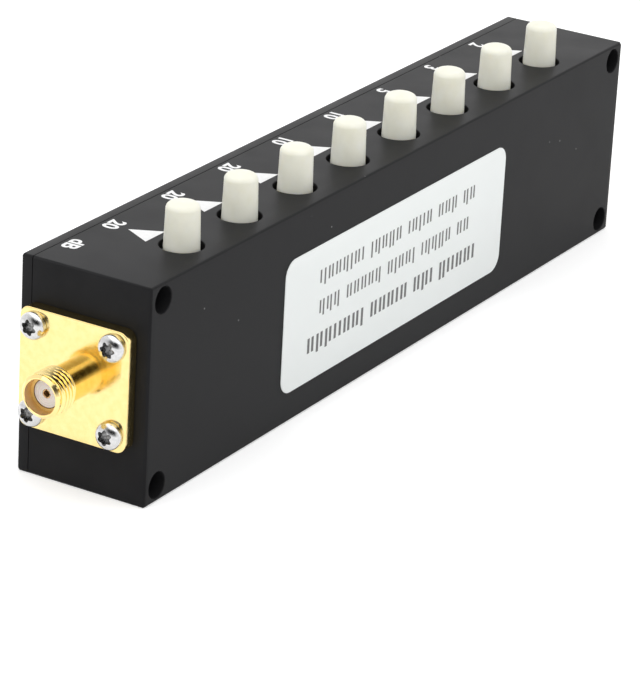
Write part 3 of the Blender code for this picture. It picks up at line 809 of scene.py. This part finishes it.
def in_recess(middle):
    """Whether a face lies inside the dome of a pan head over z = 0, so in its recess."""
    rise = (middle.z - PAN_SIDE) / (PAN_HEIGHT - PAN_SIDE)
    across = math.hypot(middle.x, middle.y) / PAN_RADIUS
    under_dome = across**2 + max(0.0, rise) ** 2 < RECESS_DEPTH
    return middle.z > 0 and across < RECESS_REACH and under_dome


def flat_screw_mesh(length):
    """A countersunk screw with its head's face at z = 0."""
    profile = [
        (0, 0),
        (FLAT_RADIUS - TURNED_EDGE, 0),
        (FLAT_RADIUS, -TURNED_EDGE),
        (SCREW_RADIUS, -FLAT_HEIGHT),
        (SCREW_RADIUS, -length),
        (0, -length),
    ]
    head = lathe("flat_screw", profile, SCREW_STEPS)
    made = boolean(head, lobe_cutter(FLAT_LOBE_SCALE))
    smooth(made, SCREW_SMOOTH_ANGLE)
    return made


def dress_screws(materials):
    """Pan heads on the flanges and countersunk ones in the cover, each at its own turn."""
    spread = random.Random(SCREW_SEED)
    for jack, out in (("input", -1), ("output", 1)):
        for number in range(1, CORNERS + 1):
            node = f"{jack}_flange_screw_{number}"
            low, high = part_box(node)
            middle = (low + high) / 2
            head = low.x if out < 0 else high.x
            place = (head - out * PAN_HEIGHT, middle.y, middle.z)
            spin = Matrix.Rotation(spread.uniform(0, math.pi), 4, "Z")
            mesh = pan_screw_mesh(high.x - low.x - PAN_HEIGHT)
            turn = turn_to((out, 0, 0)) @ spin
            name = f"{jack}_pan_screw_{number}"
            # Painted shade: the faces inside the recess take the darker recess steel as their
            # second material.
            finishes = [int(in_recess(face.center)) for face in mesh.polygons]
            steel = materials["steel"]
            piece = add_piece(name, mesh, "case", steel, [node], place, turn)
            piece.data.materials.append(materials["recess_steel"])
            piece.data.polygons.foreach_set("material_index", finishes)
    black = materials["black_steel"]
    for number in range(1, COVER_SCREWS + 1):
        node = f"cover_screw_{number}"
        low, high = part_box(node)
        middle = (low + high) / 2
        spin = Matrix.Rotation(spread.uniform(0, math.pi), 4, "Z")
        mesh = flat_screw_mesh(high.y - low.y)
        turn = turn_to((0, 1, 0)) @ spin
        place = (middle.x, high.y, middle.z)
        name = f"flat_screw_{number}"
        add_piece(name, mesh, "case", black, [node], place, turn)


# Jacks

def thread_radius(depth, turn):
    """Radius of the barrel at a depth behind its rim: collar, relief and right-hand thread."""
    phase = (depth / THREAD_PITCH + turn / (2 * math.pi) + THREAD_TURN) % 1.0
    flank = (abs(phase - 0.5) - THREAD_ROOT_SHARE) / THREAD_FLANK_SHARE
    ridge = min(1.0, max(0.0, flank))
    fade = min((depth - THREAD_START) / THREAD_FADE, (THREAD_END - depth) / THREAD_FADE, 1.0)
    height = (THREAD_CREST_RADIUS - THREAD_ROOT_RADIUS) * ridge * max(0.0, fade)
    collar = COLLAR_RADIUS - COLLAR_SLOPE * (depth - COLLAR_END)
    return max(THREAD_ROOT_RADIUS + height, collar)


def barrel_outline(turn):
    """The barrel's section (radius, depth behind the rim), from its mouth to the thread's end."""
    outline = [
        (MOUTH_RADIUS, MOUTH_DEPTH),
        (MOUTH_RADIUS, MOUTH_EDGE),
        (MOUTH_RADIUS + MOUTH_EDGE, 0),
        (RIM_RADIUS - RIM_EDGE, 0),
        (RIM_RADIUS, RIM_EDGE),
        (COLLAR_RADIUS, COLLAR_TOP),
    ]
    for row in range(THREAD_ROWS + 1):
        depth = COLLAR_END + (THREAD_END - COLLAR_END) * row / THREAD_ROWS
        outline.append((thread_radius(depth, turn), depth))
    return outline


def barrel_mesh(rim):
    """The barrel round Z, from inside the flange up to its rim."""
    foot = rim - FLANGE_THICKNESS + BARREL_OVERLAP
    end = [(NECK_RADIUS, THREAD_END + THREAD_ROOT_RADIUS - NECK_RADIUS), (NECK_RADIUS, foot)]
    end += [(BORE_RADIUS, foot), (BORE_RADIUS, MOUTH_DEPTH)]
    shape = bmesh.new()
    columns = []
    for step in range(ROUND_STEPS):
        turn = 2 * math.pi * step / ROUND_STEPS
        across, up = math.cos(turn), math.sin(turn)
        points = barrel_outline(turn) + end
        columns.append([shape.verts.new((r * across, r * up, rim - depth)) for r, depth in points])
    for column, after in zip(columns, columns[1:] + columns[:1]):
        for row in range(len(column)):
            below = (row + 1) % len(column)
            shape.faces.new((column[row], after[row], after[below], column[below]))
    return finish_mesh("barrel", shape)


def flange_mesh(side):
    """The square flange on z = 0 with its four screw holes and the barrel's bore."""
    outline = rounded_outline(side, side, FLANGE_CORNER)
    plate = finish_mesh("flange", plate_shape(outline, FLANGE_THICKNESS, FLANGE_EDGE))
    offset = side / 2 - FLANGE_SCREW_INSET
    through = FLANGE_THICKNESS + OVERCUT
    places = [(sx * offset, sy * offset, FLANGE_THICKNESS) for sx in (-1, 1) for sy in (-1, 1)]
    cutters = [placed(hole_cutter(FLANGE_HOLE_RADIUS, through), place) for place in places]
    cutters.append(placed(hole_cutter(BORE_RADIUS, through, 0.0), (0, 0, FLANGE_THICKNESS)))
    return boolean(plate, joined(cutters))


def insulator_mesh(length):
    """The white sleeve below z = 0, with turning rings on its face."""
    groove = INSULATOR_GROOVE
    inner = CONTACT_RADIUS + CONTACT_GAP
    face = [(inner, 0)]
    for ring in INSULATOR_RINGS:
        face += [(ring - groove, 0), (ring, -groove), (ring + groove, 0)]
    face += [(INSULATOR_RADIUS - TURNED_EDGE, 0), (INSULATOR_RADIUS, -TURNED_EDGE)]
    profile = [*face, (INSULATOR_RADIUS, -length), (inner, -length)]
    return lathe("insulator", profile, ROUND_STEPS, closed=True)


def contact_mesh(tail):
    """The socket contact below z = 0: a slotted tube with a solder tail."""
    profile = [
        (0, -CONTACT_HOLE_DEPTH - CONTACT_HOLE_TIP),
        (CONTACT_HOLE_RADIUS, -CONTACT_HOLE_DEPTH),
        (CONTACT_HOLE_RADIUS, -TURNED_EDGE),
        (CONTACT_HOLE_RADIUS + TURNED_EDGE, 0),
        (CONTACT_RADIUS - TURNED_EDGE / 2, 0),
        (CONTACT_RADIUS, -TURNED_EDGE / 2),
        (CONTACT_RADIUS, -CONTACT_LENGTH),
        (TAIL_RADIUS, -CONTACT_LENGTH),
        (TAIL_RADIUS, -tail),
        (0, -tail),
    ]
    tube = lathe("contact", profile, SCREW_STEPS)
    slots = []
    for angle in (0, 90):
        shape = bmesh.new()
        bmesh.ops.create_cube(shape, size=1.0)
        bmesh.ops.scale(
            shape, verts=shape.verts, vec=(2 * MM, CONTACT_SLOT, 2 * CONTACT_SLOT_DEPTH)
        )
        bmesh.ops.rotate(
            shape, verts=shape.verts, matrix=Matrix.Rotation(math.radians(angle), 3, "Z")
        )
        slots.append(finish_mesh("slot", shape))
    made = boolean(boolean(tube, slots[0]), slots[1])
    smooth(made, SCREW_SMOOTH_ANGLE)
    return made


def jack_finish(middle, rim):
    """The finish of a jack body's face, by the face's middle; the bore gets painted shade and the
    neck a painted dark reflection.
    """
    depth = rim - middle.z
    if math.hypot(middle.x, middle.y) < MOUTH_RADIUS:
        return "satin_gold" if abs(depth - MOUTH_DEPTH) < CUT_SLACK else "shaded_bore_gold"
    if middle.z < FLANGE_THICKNESS + CUT_SLACK:
        return "gold"
    return "dark_reflection_neck_gold" if depth > THREAD_END else "bright_gold"


def dress_jack_body(jack, side, rim, back, turn, materials):
    """Flange and barrel as one piece, with a finish for each region."""
    metal = boolean(flange_mesh(side), barrel_mesh(rim), "UNION")
    smooth(metal, JACK_SMOOTH_ANGLE)
    finishes = [JACK_FINISHES.index(jack_finish(face.center, rim)) for face in metal.polygons]
    name = f"{jack}_jack_body"
    gold = materials[JACK_FINISHES[0]]
    body = add_piece(name, metal, "case", gold, [f"{jack}_jack"], back, turn)
    for finish in JACK_FINISHES[1:]:
        body.data.materials.append(materials[finish])
    body.data.polygons.foreach_set("material_index", finishes)


def dress_jacks(materials):
    """Both coaxial jacks, each with its body, insulator and socket contact."""
    for jack, out in (("input", -1), ("output", 1)):
        low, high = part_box(f"{jack}_jack")
        rim_x, back_x = (low.x, high.x) if out < 0 else (high.x, low.x)
        axis = centre(f"{jack}_contact")
        back = (back_x, axis.y, axis.z)
        front = (rim_x - out * MOUTH_DEPTH, axis.y, axis.z)
        turn = turn_to((out, 0, 0))
        dress_jack_body(jack, high.z - low.z, abs(rim_x - back_x), back, turn, materials)

        low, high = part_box(f"{jack}_insulator")
        mesh = insulator_mesh(high.x - low.x)
        node, white = f"{jack}_insulator", materials["insulator"]
        add_piece(f"{jack}_sleeve", mesh, "case", white, [node], front, turn)

        low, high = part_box(f"{jack}_contact")
        mesh = contact_mesh(high.x - low.x)
        # The contact takes the bore's brown gold: painted shade deep in the mouth
        node, gold = f"{jack}_contact", materials["shaded_bore_gold"]
        add_piece(f"{jack}_socket", mesh, "case", gold, [node], front, turn)


# Label and print

def dress_label(materials):
    """The paper label, with rows of plain bars where a label has its lines of text."""
    low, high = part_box("label")
    width, height, thickness = high.x - low.x, high.z - low.z, high.y - low.y
    outline = rounded_outline(width, height, LABEL_CORNER)
    sheet = finish_mesh("label", plate_shape(outline, thickness - INK, LABEL_EDGE, 2))
    turn = Matrix.Rotation(math.radians(90), 4, "X")
    middle = ((low.x + high.x) / 2, high.y, (low.z + high.z) / 2)
    add_piece("label_sheet", sheet, "case", materials["paper"], ["label"], middle, turn)
    bars = bmesh.new()
    spread = random.Random(LABEL_SEED)
    for level, first, last, stroke, tall in LABEL_LINES:
        across = first
        while across < last - 2 * BAR_GAP:
            for _ in range(spread.choice(WORD_LETTERS)):
                if across > last - BAR_GAP - stroke:
                    break
                across = add_bars(bars, across, level, stroke, tall, spread)
            across += WORD_GAP - PAIR_GAP
    mesh = finish_mesh("label_dashes", bars)
    place = (middle[0], low.y + INK, middle[2])
    add_piece("label_dashes", mesh, "case", materials["grey_ink"], (), place, turn)


def add_bars(shape, across, level, stroke, tall, spread):
    """One or two upright bars of ink on z = 0, as a letter has; returns where the next starts."""
    for _ in range(spread.choice(LETTER_BARS)):
        rise = BAR_RISE if spread.random() < TALL_SHARE else 0.0
        bottom, top = level - tall / 2 - rise, level + tall / 2
        end = across + stroke
        points = ((across, bottom), (end, bottom), (end, top), (across, top))
        face = shape.faces.new([shape.verts.new((x, y, 0)) for x, y in points])
        grown = bmesh.ops.extrude_face_region(shape, geom=[face])["geom"]
        raised = [item for item in grown if isinstance(item, bmesh.types.BMVert)]
        bmesh.ops.translate(shape, verts=raised, vec=(0, 0, INK))
        across += stroke + BAR_GAP
    return across - BAR_GAP + PAIR_GAP


def text_mesh(words, height):
    """Plain sans-serif characters as a thin plate of ink, centred on the origin."""
    curve = bpy.data.curves.new("text", "FONT")
    curve.body = words
    curve.align_x = "CENTER"
    curve.align_y = "CENTER"
    curve.size = height / CAPITAL_SHARE
    curve.offset = STROKE_GROWTH * height
    curve.extrude = INK / 2
    holder = bpy.data.objects.new("text", curve)
    bpy.context.scene.collection.objects.link(holder)
    graph = bpy.context.evaluated_depsgraph_get()
    mesh = bpy.data.meshes.new_from_object(holder.evaluated_get(graph))
    bpy.data.objects.remove(holder)
    return mesh


def dress_print(material):
    """A triangle at each button that points to its number, and the unit at the near end."""
    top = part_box("housing")[1].z
    half_turn = Matrix.Rotation(math.pi, 4, "Z")
    for number, value in enumerate(STEP_VALUES, 1):
        x = cap_place(number)[0]
        middle = x + TRIANGLE_SHIFT_X
        corners = [
            (middle - TRIANGLE_HALF_WIDTH, TRIANGLE_BASE_Y),
            (middle + TRIANGLE_HALF_WIDTH, TRIANGLE_BASE_Y),
            (middle, TRIANGLE_TIP_Y),
        ]
        mesh = finish_mesh("triangle", plate_shape(corners, INK))
        add_piece(f"triangle_{number}", mesh, "case", material, (), (0, 0, top))
        place = (x + NUMBER_SHIFT_X, NUMBER_Y, top + INK / 2)
        digits = text_mesh(str(value), NUMBER_HEIGHT)
        add_piece(f"number_{number}", digits, "case", material, (), place, half_turn)
    place = (cap_place(1)[0] + UNIT_SHIFT_X, UNIT_Y, top + INK / 2)
    unit = text_mesh("dB", NUMBER_HEIGHT)
    add_piece("unit_mark", unit, "case", material, (), place, half_turn)


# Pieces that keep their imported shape

def dress_inner_pieces(materials):
    """The pieces inside keep their solids and get their finishes."""
    finishes = {
        "switch": "switch",
        "plunger": "stem",
        "circuit_board": "board",
        "board_screw": "steel",
    }
    for name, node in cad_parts.items():
        for start, finish in finishes.items():
            if name.startswith(start):
                node.data.materials.clear()
                node.data.materials.append(materials[finish])


# Studio

def add_floor():
    """A floor that stays white to the camera and in reflections, and keeps the object's shadow."""
    bpy.ops.mesh.primitive_plane_add(size=FLOOR_SIZE, location=(0, 0, 0))
    floor = bpy.context.object
    floor.name = "floor"
    made = bpy.data.materials.new("floor_white")
    made.use_nodes = True
    nodes, links = made.node_tree.nodes, made.node_tree.links
    nodes.clear()
    output = nodes.new("ShaderNodeOutputMaterial")
    total = nodes.new("ShaderNodeAddShader")
    diffuse = nodes.new("ShaderNodeBsdfDiffuse")
    diffuse.inputs["Color"].default_value = (0.8, 0.8, 0.8, 1.0)
    glow = nodes.new("ShaderNodeEmission")
    rays = nodes.new("ShaderNodeLightPath")
    reflected = nodes.new("ShaderNodeMath")
    reflected.operation = "MULTIPLY"
    reflected.inputs[1].default_value = FLOOR_GLOW_REFLECTED
    strength = nodes.new("ShaderNodeMath")
    strength.operation = "MULTIPLY_ADD"
    strength.inputs[1].default_value = FLOOR_GLOW
    links.new(rays.outputs["Is Glossy Ray"], reflected.inputs[0])
    links.new(rays.outputs["Is Camera Ray"], strength.inputs[0])
    links.new(reflected.outputs[0], strength.inputs[2])
    links.new(strength.outputs[0], glow.inputs["Strength"])
    links.new(diffuse.outputs[0], total.inputs[0])
    links.new(glow.outputs[0], total.inputs[1])
    links.new(total.outputs[0], output.inputs["Surface"])
    floor.data.materials.append(made)


def view_axes(azimuth, elevation):
    """Right, up and back for someone who looks in from an azimuth and elevation."""
    back = Vector(
        (
            math.sin(azimuth) * math.cos(elevation),
            -math.cos(azimuth) * math.cos(elevation),
            math.sin(elevation),
        )
    )
    right = Vector((0, 0, 1)).cross(back).normalized()
    return right, back.cross(right), back


def direction_share(world, axis, centre=0.0):
    """How far a ray's direction points along a fixed axis of the room, less a centre."""
    nodes, links = world.node_tree.nodes, world.node_tree.links
    direction = nodes.new("ShaderNodeTexCoord")
    share = nodes.new("ShaderNodeVectorMath")
    share.operation = "DOT_PRODUCT"
    share.inputs[1].default_value = axis
    links.new(direction.outputs["Generated"], share.inputs[0])
    offset = nodes.new("ShaderNodeMath")
    offset.operation = "SUBTRACT"
    offset.inputs[1].default_value = centre
    links.new(share.outputs["Value"], offset.inputs[0])
    return offset.outputs[0]


def smooth_step(world, value, span, levels):
    """Turns a value within a span smoothly into one between two levels."""
    nodes, links = world.node_tree.nodes, world.node_tree.links
    step = nodes.new("ShaderNodeMapRange")
    step.interpolation_type = "SMOOTHSTEP"
    for name, number in zip(("From Min", "From Max", "To Min", "To Max"), (*span, *levels)):
        step.inputs[name].default_value = number
    links.new(value, step.inputs["Value"])
    return step.outputs["Result"]


def room_brightness(world):
    """A white room for metal to mirror, brighter behind the object and dark on one side."""
    nodes, links = world.node_tree.nodes, world.node_tree.links
    right, up, back = view_axes(DARK_AZIMUTH, 0.0)
    spread = nodes.new("ShaderNodeCombineXYZ")
    across = direction_share(world, right / DARK_HALF_WIDTH)
    upward = direction_share(world, up / DARK_HALF_HEIGHT, DARK_HEIGHT / DARK_HALF_HEIGHT)
    behind = smooth_step(world, direction_share(world, back), DARK_BACK_FADE, (2.0, 0.0))
    for value, socket in zip((across, upward, behind), ("X", "Y", "Z")):
        links.new(value, spread.inputs[socket])
    length = nodes.new("ShaderNodeVectorMath")
    length.operation = "LENGTH"
    links.new(spread.outputs["Vector"], length.inputs[0])
    dark = smooth_step(world, length.outputs["Value"], DARK_FADE, (DARK_LEVEL, 1.0))
    _, _, towards = view_axes(CAMERA_AZIMUTH, CAMERA_ELEVATION)
    backdrop = Vector((-towards.x, -towards.y, towards.z))
    shown = direction_share(world, backdrop)
    bright = smooth_step(world, shown, BACKDROP_FADE, (1.0, BACKDROP_LEVEL))
    both = nodes.new("ShaderNodeMath")
    both.operation = "MULTIPLY"
    links.new(dark, both.inputs[0])
    links.new(bright, both.inputs[1])
    return both.outputs[0]


def add_world():
    """A white surround for the camera, the room for reflections, and softer light on the object."""
    world = bpy.data.worlds.new("studio")
    bpy.context.scene.world = world
    world.use_nodes = True
    nodes, links = world.node_tree.nodes, world.node_tree.links
    background = nodes["Background"]
    background.inputs["Color"].default_value = (1, 1, 1, 1)
    rays = nodes.new("ShaderNodeLightPath")
    softer = nodes.new("ShaderNodeMix")
    softer.data_type = "FLOAT"
    softer.inputs["A"].default_value = WORLD_LIGHT
    links.new(rays.outputs["Is Glossy Ray"], softer.inputs["Factor"])
    links.new(room_brightness(world), softer.inputs["B"])
    shown = nodes.new("ShaderNodeMix")
    shown.data_type = "FLOAT"
    shown.inputs["B"].default_value = 1.0
    links.new(rays.outputs["Is Camera Ray"], shown.inputs["Factor"])
    links.new(softer.outputs["Result"], shown.inputs["A"])
    links.new(shown.outputs["Result"], background.inputs["Strength"])


def add_lamp(name, place, target, size, power, mirrored):
    """A square area lamp that looks from its place to its target."""
    light = bpy.data.lights.new(name, "AREA")
    light.shape = "SQUARE"
    light.size = size
    light.energy = power
    lamp = bpy.data.objects.new(name, light)
    bpy.context.scene.collection.objects.link(lamp)
    lamp.location = place
    direction = Vector(target) - Vector(place)
    lamp.rotation_euler = direction.to_track_quat("-Z", "Y").to_euler()
    lamp.visible_glossy = mirrored


def add_camera():
    """The photograph's camera at its fitted place, azimuth, elevation and roll."""
    camera_data = bpy.data.cameras.new("camera")
    camera_data.sensor_fit = "HORIZONTAL"
    camera_data.sensor_width = SENSOR_WIDTH
    camera_data.lens = LENS
    camera_data.clip_start = 0.01
    camera = bpy.data.objects.new("camera", camera_data)
    bpy.context.scene.collection.objects.link(camera)
    level, upright, back = view_axes(CAMERA_AZIMUTH, CAMERA_ELEVATION)
    right = level * math.cos(CAMERA_ROLL) + upright * math.sin(CAMERA_ROLL)
    up = upright * math.cos(CAMERA_ROLL) - level * math.sin(CAMERA_ROLL)
    turn = Matrix((right, up, back)).transposed().to_4x4()
    camera.matrix_world = Matrix.Translation(CAMERA_PLACE) @ turn
    bpy.context.scene.camera = camera


def add_studio():
    add_floor()
    add_world()
    for lamp in LAMPS:
        add_lamp(*lamp)
    add_camera()
    bpy.context.scene.view_settings.view_transform = "Standard"


def main():
    materials = {
        "anodised": anodised_black(),
        "gold": gold_plate("gold_plate", 0.14, 0.004 * MM, *GOLD),
        "bright_gold": gold_plate("bright_gold_plate", 0.08, 0.0015 * MM, *GOLD),
        # Brown gold as painted shade in the bore, deeper gold as a painted dark reflection on the
        # neck
        "shaded_bore_gold": gold_plate("shaded_bore_plate", 0.45, 0.004 * MM, *BORE_SHADE_GOLD),
        "dark_reflection_neck_gold": gold_plate("dark_reflection_neck_plate", 0.1, 0.002 * MM, *NECK_REFLECTION_GOLD),
        "satin_gold": gold_plate("satin_gold_plate", 0.6, 0.002 * MM, *GOLD),
        "steel": bright_steel(),
        # Painted shade for the insides of the screw recesses
        "recess_steel": recess_steel(),
        "black_steel": black_steel(),
        "cap": cap_plastic(),
        "stem": moulded("stem_plastic", (0.74, 0.72, 0.66), (0.8, 0.79, 0.74), 0.45),
        "switch": moulded("switch_plastic", grey(0.03), grey(0.045), 0.45),
        "board": circuit_green(),
        "insulator": insulator_plastic(),
        "paper": label_paper(),
        "grey_ink": ink("grey_ink", grey(0.1), grey(0.16)),
        "white_ink": ink("white_ink", grey(0.82), grey(0.87)),
    }
    dress_case(materials["anodised"])
    dress_buttons(materials["cap"])
    dress_springs(materials["steel"])
    dress_screws(materials)
    dress_jacks(materials)
    dress_label(materials)
    dress_print(materials["white_ink"])
    dress_inner_pieces(materials)
    add_studio()


main()
